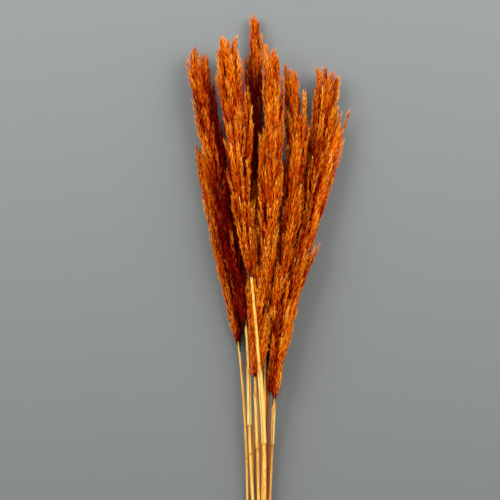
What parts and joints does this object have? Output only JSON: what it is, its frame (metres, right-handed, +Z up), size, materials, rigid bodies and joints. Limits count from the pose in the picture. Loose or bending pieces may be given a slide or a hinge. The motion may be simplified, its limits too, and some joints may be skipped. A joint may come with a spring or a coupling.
{
  "type": "bundle of dried pampas grass",
  "caption": "Bunch of dyed, dried pampas grass lying on its side: long straw stems held by a rubber band near the cut ends, with slim feathery plumes fanning out.",
  "frame": {"origin": "middle of the bundle's bounding box on the surface that it lies on", "axes": "+Y along the bundle, from the cut ends of the stems to the tips of the plumes; +Z up, from the surface that it lies on; +X to the right seen from above with the plumes away from the viewer"},
  "size_m": [0.2024, 0.75, 0.0597],
  "materials": {
    "straw": "dry, slightly glossy straw with orange dye in the grooves",
    "plume": "matt feathery spikelets, dyed rust orange, lighter at the tips",
    "husk": "dry papery leaf sheath, faintly ribbed, dyed orange",
    "rubber_band": "satin natural rubber"
  },
  "bodies": {
    "root": {"stem_left_low": "straw", "stem_tall": "straw", "stem_inner_right": "straw", "stem_front_right": "straw", "stem_back_middle": "straw", "stem_right": "straw", "stem_left": "straw", "stem_middle_low": "straw", "stem_front_left": "straw", "stem_right_low": "straw", "plume_left_low": "plume", "plume_tall": "plume", "plume_inner_right": "plume", "plume_front_right": "plume", "plume_back_middle": "plume", "plume_right": "plume", "plume_left": "plume", "plume_middle_low": "plume", "plume_front_left": "plume", "plume_right_low": "plume", "sheath_left": "husk", "sheath_middle_low": "husk", "sheath_right_low": "husk", "sheath_front_left": "husk", "rubber_band": "rubber_band"}
  },
  "joints": []
}
